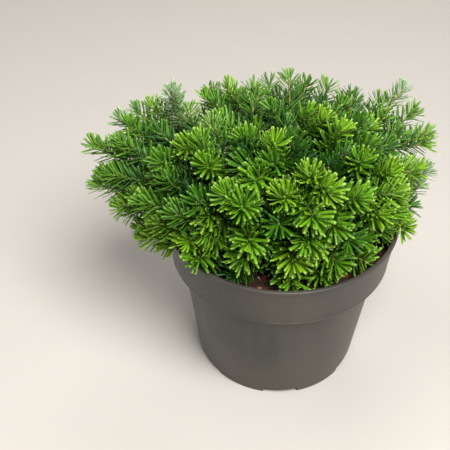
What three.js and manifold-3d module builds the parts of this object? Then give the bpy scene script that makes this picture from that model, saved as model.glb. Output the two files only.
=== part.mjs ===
// Dwarf Korean fir in a round nursery pot.
// Millimetres, +Z up, origin at the middle of the pot's flat underside, +Y towards the back.
import * as THREE from 'three';
import { mergeVertices } from 'three/addons/utils/BufferGeometryUtils.js';
import Module from 'manifold-3d';

const wasm = await Module();
wasm.setup();

// ---- driving dimensions ----
const clearance = 0.3;

const pot = {
  height: 161,
  rimRadius: 105,
  lipHeight: 3,
  collarTopRadius: 103.6,
  collarFootRadius: 99.5,
  collarFoot: 119.5,
  shoulderRadius: 90.6,
  footRadius: 75.8,
  footChamfer: 1.6,
  wall: 2.2,
  floor: 4.2,
  sides: 40,
  notches: 6,
  notchWidth: 28,
  notchHeight: 2.2,
  notchLength: 22,
};

// The soil's waves each have a turn per mm along X and Y, and a weight.
const soil = {
  level: 147,
  ripple: 1.5,
  flatRadius: 22,
  rings: [0.22, 0.45, 0.73, 1],
  waves: [[0.071, 0.03, 0.4], [-0.02, 0.083, 0.4], [0.19, -0.13, 0.2]],
};

const trunk = {
  flareRadius: 9.5,
  flareHeight: 7,
  rootRadius: 6.6,
  tipRadius: 3,
  bend: 20,
  sides: 10,
  rings: 8,
};

const bough = {
  rootRadius: 3,
  tipRadius: 2.3,
  lowest: 153,
  highest: 197,
  share: 0.44,
  crowding: 0.8,
  straight: 0.5,
  sides: 4,
  rings: 4,
};

// The crown is a flat-topped cushion; its reaches are to the tips of the wood.
const crown = {
  left: 149,
  right: 113,
  front: 108,
  back: 92,
  middle: 18,
  level: 190,
  top: 70,
  under: 33,
  lowestClimb: -0.6,
  planRoundness: 1.9,
  climbRoundness: 3.2,
  lean: -0.28,
};

const heart = new THREE.Vector3(0, 6, 166);
const massCount = 22;
const firstMassShare = 0.1;
const tip = { count: 160, looseness: 0.5, swing: 0.08, leastDepth: 0.9, depthRange: 0.13, room: 6, pull: 0.92 };

// Shoots that stand out of the cushion: x, y, z of the wood's tip.
const leaders = [
  [-162, 19, 226],
  [-152, -9, 205],
  [-126, 38, 241],
  [-98, 38, 264],
  [2, 40, 273],
  [104, 52, 254],
  [113, 38, 240],
  [123, 24, 227],
  [114, 2, 204],
  [99, -28, 172],
  [67, -67, 161],
  [4, -87, 160],
  [-41, -81, 160],
];

const shoot = {
  length: 34,
  mostOfReach: 0.8,
  rise: 0.25,
  stemShare: 0.63,
  forkSpread: 0.1,
  lift: 1.5,
  mostLifts: 20,
  stemRadius: 2.2,
  stemTipRadius: 1.7,
  twigRadius: 1.3,
  coreRadius: 2.3,
  coreTipRadius: 1.7,
  bands: 3,
  needle: 18,
  tipNeedle: 10,
  leanAtFoot: 74,
  leanAtTip: 42,
  shortest: 0.3,
  mingle: 1.02,
  twist: 80,
};

const colours = {
  pot: [0x5e5852, 0.55],
  soil: [0x3a2c21, 0.95],
  bark: [0x6b4a33, 0.85],
  foliage: [0x4f7323, 0.6],
};

// ---- seeded chance, the same number for the same two keys ----
function chance(first, second) {
  const wave = Math.sin(first * 12.9898 + second * 78.233 + 1.7) * 43758.5453;
  return wave - Math.floor(wave);
}

// ---- the crown's surface ----
const goldenShare = (Math.sqrt(5) - 1) / 2;

function profileAt(climb) {
  const out = Math.sqrt(Math.max(0, 1 - climb * climb));
  const power = crown.climbRoundness;
  const norm = (out ** power + Math.abs(climb) ** power) ** (1 / power);
  const rise = climb > 0 ? crown.top : crown.under / -crown.lowestClimb;
  return { out: out / norm, up: (climb / norm) * rise };
}

function crownPoint(turn, climb) {
  const along = Math.cos(turn);
  const across = Math.sin(turn);
  const power = crown.planRoundness;
  const norm = (Math.abs(along) ** power + Math.abs(across) ** power) ** (1 / power);
  const { out, up } = profileAt(climb);
  const reachX = along < 0 ? crown.left : crown.right;
  const reachY = across < 0 ? crown.front : crown.back;
  const x = (along / norm) * out * reachX;
  const y = crown.middle + (across / norm) * out * reachY + crown.lean * Math.max(0, up);
  return new THREE.Vector3(x, y, crown.level + up);
}

// Turn round the crown with a given share of its area before it: a slice of the top and of the side.
const steps = 240;
const turnTable = [0];
for (let step = 1; step <= steps; step += 1) {
  const middle = new THREE.Vector3(0, crown.middle, crown.level);
  const from = crownPoint(((step - 1) / steps) * Math.PI * 2, 0).sub(middle);
  const to = crownPoint((step / steps) * Math.PI * 2, 0).sub(middle);
  const side = from.distanceTo(to) * (crown.top + crown.under);
  turnTable.push(turnTable[step - 1] + from.cross(to).length() / 2 + side);
}

function turnAt(share) {
  const wanted = (share - Math.floor(share)) * turnTable[steps];
  const step = turnTable.findIndex((total) => total > wanted);
  const part = (wanted - turnTable[step - 1]) / (turnTable[step] - turnTable[step - 1]);
  return ((step - 1 + part) / steps) * Math.PI * 2;
}

// Climb with a given share of the crown's surface above it.
const meanReach = (crown.left + crown.right + crown.front + crown.back) / 4;
const areaTable = [{ climb: 1, area: 0 }];
let lastRing = { out: 0, up: crown.top };
for (let step = 1; step <= steps; step += 1) {
  const lowest = Math.asin(crown.lowestClimb);
  const climb = Math.sin(Math.PI / 2 - ((Math.PI / 2 - lowest) * step) / steps);
  const ring = profileAt(climb);
  const slant = Math.hypot((ring.out - lastRing.out) * meanReach, ring.up - lastRing.up);
  const band = Math.PI * (ring.out + lastRing.out) * meanReach * slant;
  areaTable.push({ climb, area: areaTable[step - 1].area + band });
  lastRing = ring;
}

function climbAt(share) {
  const wanted = Math.min(1, Math.max(0, share)) * areaTable[steps].area;
  let step = 1;
  while (step < steps && areaTable[step].area < wanted) {
    step += 1;
  }
  const above = areaTable[step - 1];
  const below = areaTable[step];
  const part = (wanted - above.area) / (below.area - above.area);
  return above.climb + (below.climb - above.climb) * part;
}

function spreadOverCrown(count, firstShare, looseness) {
  const points = [];
  for (let index = 0; index < count; index += 1) {
    const slip = ((chance(index, 1) - 0.5) * looseness * 2) / Math.sqrt(count);
    const swing = (chance(index, 2) - 0.5) * looseness * tip.swing;
    const climb = climbAt((index + 0.5) / count + slip);
    points.push(crownPoint(turnAt(index * goldenShare + firstShare + swing), climb));
  }
  return points;
}

// ---- masses: one cone of space each, all meeting at the heart of the crown ----
const aims = spreadOverCrown(massCount, firstMassShare, 0).map((point) => point.sub(heart).normalize());

function ownerOf(point) {
  const ray = point.clone().sub(heart);
  let best = 0;
  for (let index = 1; index < massCount; index += 1) {
    if (ray.dot(aims[index]) > ray.dot(aims[best])) {
      best = index;
    }
  }
  return best;
}

// Distance from a point to the nearest wall of a mass's cone, positive inside it.
function roomInCone(point, owner) {
  const ray = point.clone().sub(heart);
  let room = Infinity;
  aims.forEach((aim, index) => {
    if (index !== owner) {
      const wall = aims[owner].clone().sub(aim);
      room = Math.min(room, ray.dot(wall) / wall.length());
    }
  });
  return room;
}

const innerSlope = (pot.collarTopRadius - pot.collarFootRadius) / (pot.height - pot.collarFoot);

function innerRadiusAt(height) {
  return pot.collarFootRadius - pot.wall + (height - pot.collarFoot) * innerSlope;
}

// True where all of a set of points lie above the rim, all outside it, or all inside it over the soil.
function clearOfPot(points, gap) {
  const radius = (point) => Math.hypot(point.x, point.y);
  return (
    points.every((point) => point.z > pot.height + gap) ||
    points.every((point) => radius(point) > pot.rimRadius + gap) ||
    points.every((point) => radius(point) < innerRadiusAt(point.z) - gap && point.z > soil.level + soil.ripple + gap)
  );
}

// ---- tips of the shoots, each given to the mass whose cone it lies in ----
const tips = spreadOverCrown(tip.count, 0, tip.looseness);
tips.forEach((point, index) => {
  const depth = tip.leastDepth + tip.depthRange * chance(index, 3);
  point.sub(heart).multiplyScalar(depth).add(heart);
});
const led = new Set();
leaders.forEach((leader) => {
  const place = new THREE.Vector3(...leader);
  const free = tips.filter((point) => !led.has(point));
  const nearest = free.reduce((best, point) => (point.distanceTo(place) < best.distanceTo(place) ? point : best));
  led.add(nearest.copy(place));
});

// Draws a tip in towards the middle of its mass until it has room beside it.
function settled(point, owner) {
  const mostPulls = 12;
  for (let step = 0; step < mostPulls && roomInCone(point, owner) < tip.room; step += 1) {
    const middle = aims[owner].clone().multiplyScalar(point.distanceTo(heart)).add(heart);
    point.sub(middle).multiplyScalar(tip.pull).add(middle);
  }
  return point;
}

const masses = aims.map((aim) => ({ aim, tips: [], reach: 0 }));
tips.forEach((point) => {
  const owner = ownerOf(point);
  masses[owner].tips.push(settled(point, owner));
});
masses.forEach((mass) => {
  const total = mass.tips.reduce((sum, point) => sum + point.distanceTo(heart), 0);
  mass.reach = total / mass.tips.length;
});

function pointInMass(mass, share) {
  return mass.aim.clone().multiplyScalar(mass.reach * share).add(heart);
}

// ---- solids ----
function mergedByPlace(geometry) {
  geometry.deleteAttribute('normal');
  geometry.deleteAttribute('uv');
  return mergeVertices(geometry, 1e-4);
}

function toSolid(geometry) {
  const merged = mergedByPlace(geometry);
  const corners = merged.index.array;
  const kept = [];
  for (let face = 0; face < corners.length; face += 3) {
    const [a, b, c] = corners.slice(face, face + 3);
    if (a !== b && b !== c && c !== a) {
      kept.push(a, b, c);
    }
  }
  const vertProperties = new Float32Array(merged.attributes.position.array);
  return new wasm.Manifold(new wasm.Mesh({ numProp: 3, vertProperties, triVerts: new Uint32Array(kept) }));
}

function toMesh(solid, name, [colour, roughness]) {
  const { vertProperties, triVerts } = solid.getMesh();
  const geometry = new THREE.BufferGeometry();
  geometry.setAttribute('position', new THREE.BufferAttribute(vertProperties, 3));
  geometry.setIndex(new THREE.BufferAttribute(triVerts, 1));
  geometry.computeVertexNormals();
  const material = new THREE.MeshStandardMaterial({ color: colour, roughness, metalness: 0 });
  const mesh = new THREE.Mesh(geometry, material);
  mesh.name = name;
  return mesh;
}

// Sections of a limb, each with its middle, its radius and three directions: axis, side and other.
function withSides(sections) {
  const steep = Math.abs(sections[0].axis.z) > 0.8;
  let side = steep ? new THREE.Vector3(1, 0, 0) : new THREE.Vector3(0, 0, 1);
  return sections.map(({ point, axis, radius }) => {
    side = side.clone().addScaledVector(axis, -side.dot(axis)).normalize();
    return { point, axis, radius, side, other: axis.clone().cross(side) };
  });
}

function sectionsAlong(curve, rings, radiusAt) {
  return Array.from({ length: rings + 1 }, (_, ring) => {
    const point = curve.getPoint(ring / rings);
    return { point, axis: curve.getTangent(ring / rings), radius: radiusAt(ring / rings, point) };
  });
}

// A closed limb through its sections, each ring turned a little past the last.
function limbGeometry(sections, sides, twist) {
  const bands = sections.length - 1;
  const placed = withSides(sections);
  const geometry = new THREE.CylinderGeometry(1, 1, bands, sides, bands);
  const position = geometry.attributes.position;
  for (let index = 0; index < position.count; index += 1) {
    const row = Math.round(position.getY(index) + bands / 2);
    const onRing = Math.min(1, Math.hypot(position.getX(index), position.getZ(index)));
    const angle = Math.atan2(position.getX(index), position.getZ(index)) - row * twist;
    const { point, side, other, radius } = placed[row];
    const place = point
      .clone()
      .addScaledVector(side, Math.cos(angle) * radius * onRing)
      .addScaledVector(other, Math.sin(angle) * radius * onRing);
    position.setXYZ(index, place.x, place.y, place.z);
  }
  return geometry;
}

function lathe(profile) {
  const points = profile.map(([radius, height]) => new THREE.Vector2(radius, height));
  return new THREE.LatheGeometry(points, pot.sides).rotateX(Math.PI / 2);
}

// ---- pot ----
function makePot() {
  const { wall } = pot;
  const profile = [
    [0, 0],
    [pot.footRadius - pot.footChamfer, 0],
    [pot.footRadius, pot.footChamfer],
    [pot.shoulderRadius, pot.collarFoot],
    [pot.collarFootRadius, pot.collarFoot],
    [pot.collarTopRadius, pot.height - pot.lipHeight],
    [pot.rimRadius, pot.height - pot.lipHeight],
    [pot.rimRadius, pot.height],
    [pot.collarTopRadius - wall, pot.height],
    [pot.collarFootRadius - wall, pot.collarFoot + wall],
    [pot.shoulderRadius - wall, pot.collarFoot],
    [pot.footRadius - wall, pot.floor],
    [0, pot.floor],
  ];
  let body = toSolid(lathe(profile));
  for (let index = 0; index < pot.notches; index += 1) {
    const notch = new THREE.BoxGeometry(pot.notchLength, pot.notchWidth, pot.notchHeight * 2);
    notch.translate(pot.footRadius + 1 - pot.notchLength / 2, 0, 0);
    notch.rotateZ((index / pot.notches) * Math.PI * 2 - Math.PI / 2);
    body = body.subtract(toSolid(notch));
  }
  return toMesh(body, 'pot', colours.pot);
}

// ---- soil ----
function soilHeight(x, y) {
  const radius = Math.hypot(x, y);
  const ease = THREE.MathUtils.smoothstep(radius, soil.flatRadius, soil.flatRadius * 2);
  const wave = soil.waves.reduce((sum, [turnX, turnY, weight]) => sum + weight * Math.sin(x * turnX + y * turnY), 0);
  return soil.level + wave * soil.ripple * ease;
}

function makeSoil() {
  const edge = innerRadiusAt(soil.level) - clearance * 2;
  const side = [
    [0, pot.floor + clearance],
    [pot.footRadius - pot.wall - clearance * 2, pot.floor + clearance],
    [pot.shoulderRadius - pot.wall - clearance * 2, pot.collarFoot + clearance],
    [pot.collarFootRadius - pot.wall - clearance * 2, pot.collarFoot + pot.wall + clearance],
  ];
  const surface = soil.rings.map((share) => [edge * share, soil.level]).reverse();
  const geometry = lathe([...side, ...surface, [0, soil.level]]);
  const position = geometry.attributes.position;
  for (let index = 0; index < position.count; index += 1) {
    if (position.getZ(index) > soil.level - 1) {
      position.setZ(index, soilHeight(position.getX(index), position.getY(index)));
    }
  }
  return toMesh(toSolid(geometry), 'soil', colours.soil);
}

// ---- trunk ----
const trunkFoot = new THREE.Vector3(0, 0, soil.level + clearance);
const trunkTip = pointInMass(masses[0], bough.share);
const trunkRise = new THREE.Vector3(0, 0, trunk.bend).add(trunkFoot);
const trunkBend = trunkTip.clone().addScaledVector(masses[0].aim, -trunk.bend);
const trunkLine = new THREE.CubicBezierCurve3(trunkFoot, trunkRise, trunkBend, trunkTip);

function trunkRadiusAt(height) {
  const climb = (height - trunkFoot.z) / (trunkTip.z - trunkFoot.z);
  const plain = trunk.rootRadius + (trunk.tipRadius - trunk.rootRadius) * climb;
  const flare = Math.max(0, 1 - (height - trunkFoot.z) / trunk.flareHeight);
  return plain + (trunk.flareRadius - trunk.rootRadius) * flare * flare;
}

function trunkSolid(extra) {
  const sections = sectionsAlong(trunkLine, trunk.rings, (_, point) => trunkRadiusAt(point.z) + extra);
  return toSolid(limbGeometry(sections, trunk.sides, 0));
}

function trunkPointAt(height) {
  let low = 0;
  let high = 1;
  for (let step = 0; step < 30; step += 1) {
    const middle = (low + high) / 2;
    if (trunkLine.getPoint(middle).z < height) {
      low = middle;
    } else {
      high = middle;
    }
  }
  return trunkLine.getPoint(low);
}

// ---- boughs ----
function boughLine(index) {
  const mass = masses[index];
  const step = (index - 1) / (massCount - 2);
  const root = trunkPointAt(bough.highest + (bough.lowest - bough.highest) * step ** bough.crowding);
  const tip = pointInMass(mass, bough.share);
  const bend = tip.clone().addScaledVector(mass.aim, -bough.straight * tip.distanceTo(root));
  return new THREE.QuadraticBezierCurve3(root, bend, tip);
}

function makeBough(index, trunkShell) {
  const taper = (share) => bough.rootRadius + (bough.tipRadius - bough.rootRadius) * share;
  const solid = toSolid(limbGeometry(sectionsAlong(boughLine(index), bough.rings, taper), bough.sides, 0));
  return toMesh(solid.subtract(trunkShell), `bough_${String(index).padStart(2, '0')}`, colours.bark);
}

// ---- shoots ----
// A bare twig from the fork to the foot, then a needled core from the foot to the end.
function shootLine(mass, end, rank) {
  const fork = pointInMass(mass, shoot.stemShare - shoot.forkSpread * rank);
  const outward = end.clone().sub(heart).normalize();
  const straight = end.clone().sub(fork);
  const length = Math.min(shoot.length, straight.length() * shoot.mostOfReach);
  const axis = straight.normalize().add(outward).add(new THREE.Vector3(0, 0, shoot.rise)).normalize();
  const foot = end.clone().addScaledVector(axis, -length);
  for (let step = 0; step < shoot.mostLifts && !limbClears([fork, foot, end]); step += 1) {
    foot.z += shoot.lift;
    end.z += shoot.lift;
  }
  return { fork, foot, end, axis, length };
}

function limbClears([fork, foot, end]) {
  const gap = shoot.coreRadius + 1;
  const samples = 12;
  for (let step = 0; step < samples; step += 1) {
    const twig = [step, step + 1].map((part) => fork.clone().lerp(foot, part / samples));
    const core = [step, step + 1].map((part) => foot.clone().lerp(end, part / samples));
    if (!clearOfPot(twig, gap) || !clearOfPot(core, gap)) {
      return false;
    }
  }
  return true;
}

function distanceToShoot(point, { foot, end }) {
  const line = new THREE.Line3(foot, end);
  return line.closestPointToPoint(point, true, new THREE.Vector3()).distanceTo(point);
}

// True where a needle keeps to its own mass, off its neighbours' wood and to one side of the pot's wall.
function needleFits(base, point, owner, own, others) {
  const near = distanceToShoot(point, own) * shoot.mingle;
  return (
    roomInCone(point, owner) > clearance / 2 &&
    clearOfPot([...base, point], 1) &&
    others.every((other) => distanceToShoot(point, other) > near)
  );
}

// Raises each face above the bare foot into a needle of three faces, leaning towards the tip.
function shootSolid(line, owner, others) {
  const { fork, foot, end, axis, length } = line;
  const twig = { point: fork, axis: foot.clone().sub(fork).normalize(), radius: shoot.twigRadius };
  const core = sectionsAlong(new THREE.LineCurve3(foot, end), shoot.bands, (share) =>
    shoot.coreRadius + (shoot.coreTipRadius - shoot.coreRadius) * share);
  const plain = mergedByPlace(limbGeometry([twig, ...core], 3, THREE.MathUtils.degToRad(shoot.twist)));
  const corners = Array.from({ length: plain.attributes.position.count }, (_, index) =>
    new THREE.Vector3().fromBufferAttribute(plain.attributes.position, index));
  const topMiddle = corners.findIndex((corner) => corner.distanceTo(end) < 0.01);
  corners[topMiddle].copy(grownTo([end], end, axis, shoot.tipNeedle) ?? end);
  const faces = [];
  const source = plain.index.array;
  for (let face = 0; face < source.length; face += 3) {
    const ring = Array.from(source.slice(face, face + 3));
    const [a, b, c] = ring.map((corner) => corners[corner]);
    const middle = a.clone().add(b).add(c).divideScalar(3);
    const along = middle.clone().sub(foot).dot(axis);
    const spike = along > 0 && !ring.includes(topMiddle) ? needleTip([a, b, c], middle, along) : null;
    if (spike) {
      const peak = corners.push(spike) - 1;
      ring.forEach((corner, index) => faces.push(corner, ring[(index + 1) % 3], peak));
    } else {
      faces.push(...ring);
    }
  }
  const vertProperties = new Float32Array(corners.flatMap((corner) => corner.toArray()));
  return new wasm.Manifold(new wasm.Mesh({ numProp: 3, vertProperties, triVerts: new Uint32Array(faces) }));

  function needleTip(base, middle, along) {
    const onAxis = foot.clone().addScaledVector(axis, along);
    const outward = middle.clone().sub(onAxis).normalize();
    const share = along / length;
    const lean = THREE.MathUtils.degToRad(shoot.leanAtFoot + (shoot.leanAtTip - shoot.leanAtFoot) * share);
    const direction = outward.multiplyScalar(Math.sin(lean)).addScaledVector(axis, Math.cos(lean));
    return grownTo(base, middle, direction, shoot.needle);
  }

  // The end of the longest needle that fits, or null where none does.
  function grownTo(base, from, direction, reach) {
    for (let size = 1; size >= shoot.shortest; size -= 0.1) {
      const point = from.clone().addScaledVector(direction, reach * size);
      if (needleFits(base, point, owner, line, others)) {
        return point;
      }
    }
    return null;
  }
}

function makeMass(index) {
  const mass = masses[index];
  const start = pointInMass(mass, bough.share).addScaledVector(mass.aim, clearance);
  const end = pointInMass(mass, shoot.stemShare).addScaledVector(mass.aim, 1);
  const taper = (share) => shoot.stemRadius + (shoot.stemTipRadius - shoot.stemRadius) * share;
  let solid = toSolid(limbGeometry(sectionsAlong(new THREE.LineCurve3(start, end), 1, taper), bough.sides, 0));
  const byMiddle = [...mass.tips].sort((a, b) => offAim(a, mass) - offAim(b, mass));
  const lines = byMiddle.map((point, rank) => shootLine(mass, point, rank / (byMiddle.length - 1)));
  lines.forEach((line) => {
    const others = lines.filter((other) => other !== line);
    solid = solid.add(shootSolid(line, index, others));
  });
  return toMesh(solid, `foliage_${String(index).padStart(2, '0')}`, colours.foliage);
}

function offAim(point, mass) {
  return point.clone().sub(heart).angleTo(mass.aim);
}

// ---- the whole plant ----
const plant = new THREE.Group();
plant.add(makePot(), makeSoil(), toMesh(trunkSolid(0), 'trunk', colours.bark));
const trunkShell = trunkSolid(clearance);
for (let index = 1; index < massCount; index += 1) {
  plant.add(makeBough(index, trunkShell));
}
for (let index = 0; index < massCount; index += 1) {
  plant.add(makeMass(index));
}

export default plant;
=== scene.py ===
from math import asin, ceil, cos, floor, hypot, pi, radians, sin, sqrt

import bpy
import numpy as np
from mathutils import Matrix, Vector, noise
from numpy.linalg import norm


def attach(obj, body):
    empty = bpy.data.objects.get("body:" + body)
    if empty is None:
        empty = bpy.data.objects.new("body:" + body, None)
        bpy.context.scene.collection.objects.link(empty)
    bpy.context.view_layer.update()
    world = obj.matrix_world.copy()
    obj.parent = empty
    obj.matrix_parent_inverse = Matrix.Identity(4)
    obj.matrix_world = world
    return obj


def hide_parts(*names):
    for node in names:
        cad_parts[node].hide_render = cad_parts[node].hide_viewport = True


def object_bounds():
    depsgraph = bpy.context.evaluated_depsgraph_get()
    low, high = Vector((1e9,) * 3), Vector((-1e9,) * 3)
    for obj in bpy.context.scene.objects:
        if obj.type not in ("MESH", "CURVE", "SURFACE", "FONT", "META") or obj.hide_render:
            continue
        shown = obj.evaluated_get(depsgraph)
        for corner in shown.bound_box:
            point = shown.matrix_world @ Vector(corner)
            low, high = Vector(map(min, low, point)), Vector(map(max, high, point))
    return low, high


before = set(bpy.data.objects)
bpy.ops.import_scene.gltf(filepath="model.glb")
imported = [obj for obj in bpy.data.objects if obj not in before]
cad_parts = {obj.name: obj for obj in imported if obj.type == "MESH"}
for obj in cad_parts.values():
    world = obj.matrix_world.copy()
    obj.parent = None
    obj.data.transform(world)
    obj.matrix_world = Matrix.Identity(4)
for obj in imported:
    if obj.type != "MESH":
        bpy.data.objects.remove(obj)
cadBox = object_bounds()
print("frame loaded with", len(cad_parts), "nodes")

mm = 0.001  # the plant grows in millimetres, and meshes are made in metres
fullTurn = 2 * pi
goldenShare = (sqrt(5) - 1) / 2  # steps of this share of a turn spread evenly

# Place in metres, degrees that it looks down, lens and sensor in millimetres.
cameraSet = {"place": (-0.0507, -0.5802, 0.6297), "pitch": 39.87, "lens": 66.4, "sensor": 36}


def addCamera():
    data = bpy.data.cameras.new("camera")
    data.sensor_width = cameraSet["sensor"]
    data.lens = cameraSet["lens"]
    camera = bpy.data.objects.new("camera", data)
    camera.location = cameraSet["place"]
    camera.rotation_euler = (radians(90 - cameraSet["pitch"]), 0, 0)
    bpy.context.scene.collection.objects.link(camera)
    bpy.context.scene.camera = camera


addCamera()
print("camera placed")


# An sRGB hex value as the linear colour that a shader takes.
def linearColour(hexText):
    shares = [int(hexText[at:at + 2], 16) / 255 for at in (1, 3, 5)]
    linear = [s / 12.92 if s <= 0.04045 else ((s + 0.055) / 1.055) ** 2.4 for s in shares]
    return (*linear, 1.0)


# Adds a node with its settings and links. A link comes from an output, or from a node's first output.
# A colour Mix has its share at input 0, its two colours at 6 and 7, and its result at output 2.
def addNode(tree, kind, settings=None, links=None):
    node = tree.nodes.new("ShaderNode" + kind)
    for key, value in (settings or {}).items():
        if isinstance(key, str) and key in node.bl_rna.properties:
            setattr(node, key, value)
        else:
            node.inputs[key].default_value = value
    for key, source in (links or {}).items():
        tree.links.new(source.outputs[0] if hasattr(source, "outputs") else source, node.inputs[key])
    return node


def startMaterial(name, roughness, ior):
    material = bpy.data.materials.new(name)
    material.use_nodes = True
    tree = material.node_tree
    shader = tree.nodes["Principled BSDF"]
    shader.inputs["Roughness"].default_value = roughness
    shader.inputs["IOR"].default_value = ior
    return material, tree, shader


def plainMaterial(name, roughness, ior, colour):
    material, _, shader = startMaterial(name, roughness, ior)
    shader.inputs["Base Color"].default_value = linearColour(colour)
    return material


# A material whose patterns are laid out on the object's own place.
def patternedMaterial(name, roughness, ior):
    material, tree, shader = startMaterial(name, roughness, ior)
    return material, tree, shader, addNode(tree, "TexCoord").outputs["Object"]


# Spreads a pattern between two tones, and raises low relief from it where the surface has some.
def showPattern(tree, shader, pattern, tones, reach, relief=None):
    share = addNode(tree, "MapRange", reach, {"Value": pattern})
    first, second = (linearColour(tone) for tone in tones)
    colour = addNode(tree, "Mix", {"data_type": "RGBA", 6: first, 7: second}, {0: share})
    tree.links.new(colour.outputs[2], shader.inputs["Base Color"])
    if relief:
        bump = addNode(tree, "Bump", relief, {"Height": pattern})
        tree.links.new(bump.outputs[0], shader.inputs["Normal"])


def perMetre(sizeMm):
    return 1 / (sizeMm * mm)  # a noise's scale for features of that size


# Settings that map values from low to high onto least to most.
def mapped(low, high, least=0, most=1):
    return {"From Min": low, "From Max": high, "To Min": least, "To Max": most}


def makePiece(name, points, faces, materials, slots=None, sharpAngle=None):
    mesh = bpy.data.meshes.new(name)
    mesh.from_pydata((np.asarray(points, float) * mm).tolist(), [], [list(face) for face in faces])
    for material in materials:
        mesh.materials.append(material)
    if slots is not None:
        mesh.polygons.foreach_set("material_index", np.asarray(slots, np.int32))
    mesh.shade_smooth()
    if sharpAngle is not None:
        mesh.set_sharp_from_angle(angle=radians(sharpAngle))
    mesh.update()
    piece = bpy.data.objects.new(name, mesh)
    bpy.context.scene.collection.objects.link(piece)
    return piece


def settle(piece, nodeNames):
    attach(piece, "root")
    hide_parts(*nodeNames)


def unit(vector):
    return vector / norm(vector)


def unitRows(rows):
    return rows / norm(rows, axis=1)[:, None]


# What chance decides, each with a number of its own.
draws = {
    "slip": 1, "swing": 2, "depth": 3, "fillDepth": 5,
    "length": 11, "radius": 12, "turn": 13, "thickness": 14, "tone": 15, "width": 16, "tilt": 17, "spin": 18,
    "corner": 20, "driftX": 31, "driftY": 32, "driftZ": 33,
}


# A number from 0 to 1 that is always the same for the same thing and the same decision.
def chance(thing, decision):
    wave = sin(thing * 12.9898 + draws.get(decision, decision) * 78.233 + 1.7) * 43758.5453
    return wave - floor(wave)


# A value between a least one and that plus a range.
def within(span, share):
    return span[0] + span[1] * share


# The faces of a body of rings, closed at both ends.
def ringFaces(rows, sides):
    faces = []
    for row in range(rows - 1):
        low, high = row * sides, (row + 1) * sides
        for step in range(sides):
            after = (step + 1) % sides
            faces.append((low + step, low + after, high + after, high + step))
    return [*faces, tuple(range(sides))[::-1], tuple(range((rows - 1) * sides, rows * sides))]


# A closed tube through points, with a radius at each. relief(side share, distance) adds to the radius.
def tube(points, radii, sides, relief=None):
    points = np.asarray(points, float)
    tangents = unitRows(np.gradient(points, axis=0))
    upright = 0.8  # above this climb the first side is level
    side = np.array([1.0, 0, 0]) if abs(tangents[0][2]) > upright else np.array([0, 0, 1.0])
    travelled = 0
    rings = []
    for row, (point, tangent, radius) in enumerate(zip(points, tangents, radii)):
        if row:
            travelled += norm(point - points[row - 1])
        side = unit(side - tangent * side.dot(tangent))
        other = np.cross(tangent, side)
        for step in range(sides):
            angle = step / sides * fullTurn
            reach = radius + (relief(step / sides, travelled) if relief else 0)
            rings.append(point + (side * cos(angle) + other * sin(angle)) * reach)
    return rings, ringFaces(len(points), sides)


class Heap:
    # gathers many small meshes into one piece
    def __init__(self):
        self.points, self.faces, self.slots = [], [], []

    def add(self, points, faces, slots=0):
        start = len(self.points)
        self.points.extend(points)
        self.faces.extend(tuple(start + corner for corner in face) for face in faces)
        self.slots.extend(slots if isinstance(slots, list) else [slots] * len(faces))


# The cushion that the shoots fill, by the same rule as the part's source: how far it reaches each way
# from the pot's axis, the level of its edge, and its height above and depth under that.
crown = {
    "left": 149, "right": 113, "front": 108, "back": 92, "middle": 18, "level": 190,
    "top": 70, "under": 33, "lowestClimb": -0.6, "planRoundness": 1.9,
    "climbRoundness": 3.2, "lean": -0.28, "steps": 240,
}
heart = np.array([0, 6, 166.0])  # the place inside the crown that all shoots point away from
massRule = {"count": 22, "firstShare": 0.1}
tipRule = {
    "count": 160, "looseness": 0.5, "swing": 0.08, "leastDepth": 0.9, "depthRange": 0.13,
    "room": 6, "pull": 0.92, "mostPulls": 12,
}

# Shoots that stand out of the cushion: x, y, z of the wood's tip.
leaders = [
    (-162, 19, 226), (-152, -9, 205), (-126, 38, 241), (-98, 38, 264),
    (2, 40, 273), (104, 52, 254), (113, 38, 240), (123, 24, 227),
    (114, 2, 204), (99, -28, 172), (67, -67, 161), (4, -87, 160),
    (-41, -81, 160),
]


# How far out, as a share, and how far up the crown's outline is at a climb from -1 to 1.
def profileAt(climb):
    out = sqrt(max(0, 1 - climb * climb))
    power = crown["climbRoundness"]
    bulge = (out ** power + abs(climb) ** power) ** (1 / power)
    rise = crown["top"] if climb > 0 else crown["under"] / -crown["lowestClimb"]
    return out / bulge, climb / bulge * rise


def crownPoint(turn, climb):
    along, across = cos(turn), sin(turn)
    power = crown["planRoundness"]
    bulge = (abs(along) ** power + abs(across) ** power) ** (1 / power)
    out, up = profileAt(climb)
    reachX = crown["left"] if along < 0 else crown["right"]
    reachY = crown["front"] if across < 0 else crown["back"]
    x = along / bulge * out * reachX
    y = crown["middle"] + across / bulge * out * reachY + crown["lean"] * max(0, up)
    return np.array([x, y, crown["level"] + up])


# The share of the crown's area before each turn round it, and the turns.
def turnShares():
    middle = np.array([0, crown["middle"], crown["level"]])
    steps = crown["steps"]
    turns = [step / steps * fullTurn for step in range(steps + 1)]
    totals = [0]
    for before, after in zip(turns, turns[1:]):
        fromMiddle, toMiddle = crownPoint(before, 0) - middle, crownPoint(after, 0) - middle
        side = norm(fromMiddle - toMiddle) * (crown["top"] + crown["under"])
        totals.append(totals[-1] + norm(np.cross(fromMiddle, toMiddle)) / 2 + side)
    return np.array(totals) / totals[-1], turns


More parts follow.
